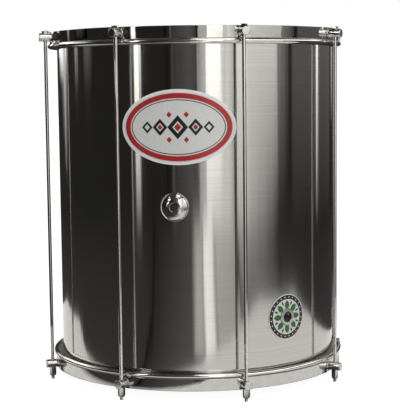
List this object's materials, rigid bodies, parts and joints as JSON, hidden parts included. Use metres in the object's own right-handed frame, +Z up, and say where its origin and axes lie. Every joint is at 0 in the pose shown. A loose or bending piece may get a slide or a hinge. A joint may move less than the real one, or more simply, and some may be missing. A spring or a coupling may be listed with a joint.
{
  "type": "surdo bass drum",
  "caption": "Upright cylindrical bass drum: metal shell, film head at each end, flat-band counterhoops drawn together by long rods and nuts; stands on its rod ends.",
  "frame": {"origin": "on the drum's axis, at the height of the rod ends that it stands on", "axes": "+Z up along the drum's axis; the front, with the large badge, faces -Y; +X is to the right of someone who looks at the front"},
  "size_m": [0.5434, 0.5434, 0.6349],
  "materials": {
    "shell_metal": "polished sheet with fine brushing round the shell",
    "hoop_chrome": "bright plating over flat steel bar",
    "flesh_hoop_metal": "polished round section",
    "stud_chrome": "bright plating over turned steel",
    "rod_steel": "plated steel rod",
    "nut_steel": "plated steel nut",
    "vent_chrome": "bright plating over pressed sheet",
    "washer_steel": "plain zinc-plated washer",
    "film_white": "milky plastic film",
    "front_badge_print": null,
    "side_badge_print": null
  },
  "bodies": {
    "drum": {"shell": "shell_metal", "upper_film": "film_white", "lower_film": "film_white", "upper_flesh_hoop": "flesh_hoop_metal", "lower_flesh_hoop": "flesh_hoop_metal", "lower_counterhoop": "hoop_chrome", "lower_stud_1": "stud_chrome", "lower_stud_2": "stud_chrome", "lower_stud_3": "stud_chrome", "lower_stud_4": "stud_chrome", "lower_stud_5": "stud_chrome", "lower_stud_6": "stud_chrome", "lower_stud_7": "stud_chrome", "lower_stud_8": "stud_chrome", "front_vent": "vent_chrome", "front_vent_washer": "washer_steel", "side_vent": "vent_chrome", "side_vent_washer": "washer_steel", "front_badge": "front_badge_print", "side_badge": "side_badge_print"},
    "upper_frame": {"upper_counterhoop": "hoop_chrome", "upper_stud_1": "stud_chrome", "upper_stud_2": "stud_chrome", "upper_stud_3": "stud_chrome", "upper_stud_4": "stud_chrome", "upper_stud_5": "stud_chrome", "upper_stud_6": "stud_chrome", "upper_stud_7": "stud_chrome", "upper_stud_8": "stud_chrome", "tension_rod_1": "rod_steel", "tension_rod_2": "rod_steel", "tension_rod_3": "rod_steel", "tension_rod_4": "rod_steel", "tension_rod_5": "rod_steel", "tension_rod_6": "rod_steel", "tension_rod_7": "rod_steel", "tension_rod_8": "rod_steel"},
    "nut_1": {"tension_nut_1": "nut_steel"},
    "nut_2": {"tension_nut_2": "nut_steel"},
    "nut_3": {"tension_nut_3": "nut_steel"},
    "nut_4": {"tension_nut_4": "nut_steel"},
    "nut_5": {"tension_nut_5": "nut_steel"},
    "nut_6": {"tension_nut_6": "nut_steel"},
    "nut_7": {"tension_nut_7": "nut_steel"},
    "nut_8": {"tension_nut_8": "nut_steel"}
  },
  "joints": [
    {"name": "upper_frame_slacken", "type": "slide", "parent": "drum", "child": "upper_frame", "axis": [0, 0, 1], "range_m": [0, 0.01]},
    {"name": "nut_1_turn", "type": "hinge", "parent": "drum", "child": "nut_1", "pos_m": [0.10696, -0.25822, 0.01375], "axis": [0, 0, 1], "range_deg": [-2835, 0]},
    {"name": "nut_2_turn", "type": "hinge", "parent": "drum", "child": "nut_2", "pos_m": [0.25822, -0.10696, 0.01375], "axis": [0, 0, 1], "range_deg": [-2835, 0]},
    {"name": "nut_3_turn", "type": "hinge", "parent": "drum", "child": "nut_3", "pos_m": [0.25822, 0.10696, 0.01375], "axis": [0, 0, 1], "range_deg": [-2835, 0]},
    {"name": "nut_4_turn", "type": "hinge", "parent": "drum", "child": "nut_4", "pos_m": [0.10696, 0.25822, 0.01375], "axis": [0, 0, 1], "range_deg": [-2835, 0]},
    {"name": "nut_5_turn", "type": "hinge", "parent": "drum", "child": "nut_5", "pos_m": [-0.10696, 0.25822, 0.01375], "axis": [0, 0, 1], "range_deg": [-2835, 0]},
    {"name": "nut_6_turn", "type": "hinge", "parent": "drum", "child": "nut_6", "pos_m": [-0.25822, 0.10696, 0.01375], "axis": [0, 0, 1], "range_deg": [-2835, 0]},
    {"name": "nut_7_turn", "type": "hinge", "parent": "drum", "child": "nut_7", "pos_m": [-0.25822, -0.10696, 0.01375], "axis": [0, 0, 1], "range_deg": [-2835, 0]},
    {"name": "nut_8_turn", "type": "hinge", "parent": "drum", "child": "nut_8", "pos_m": [-0.10696, -0.25822, 0.01375], "axis": [0, 0, 1], "range_deg": [-2835, 0]}
  ],
  "couplings": [
    {"joint": "nut_1_turn", "follows": "upper_frame_slacken", "rad_per_m": -4947.4},
    {"joint": "nut_2_turn", "follows": "upper_frame_slacken", "rad_per_m": -4947.4},
    {"joint": "nut_3_turn", "follows": "upper_frame_slacken", "rad_per_m": -4947.4},
    {"joint": "nut_4_turn", "follows": "upper_frame_slacken", "rad_per_m": -4947.4},
    {"joint": "nut_5_turn", "follows": "upper_frame_slacken", "rad_per_m": -4947.4},
    {"joint": "nut_6_turn", "follows": "upper_frame_slacken", "rad_per_m": -4947.4},
    {"joint": "nut_7_turn", "follows": "upper_frame_slacken", "rad_per_m": -4947.4},
    {"joint": "nut_8_turn", "follows": "upper_frame_slacken", "rad_per_m": -4947.4}
  ]
}
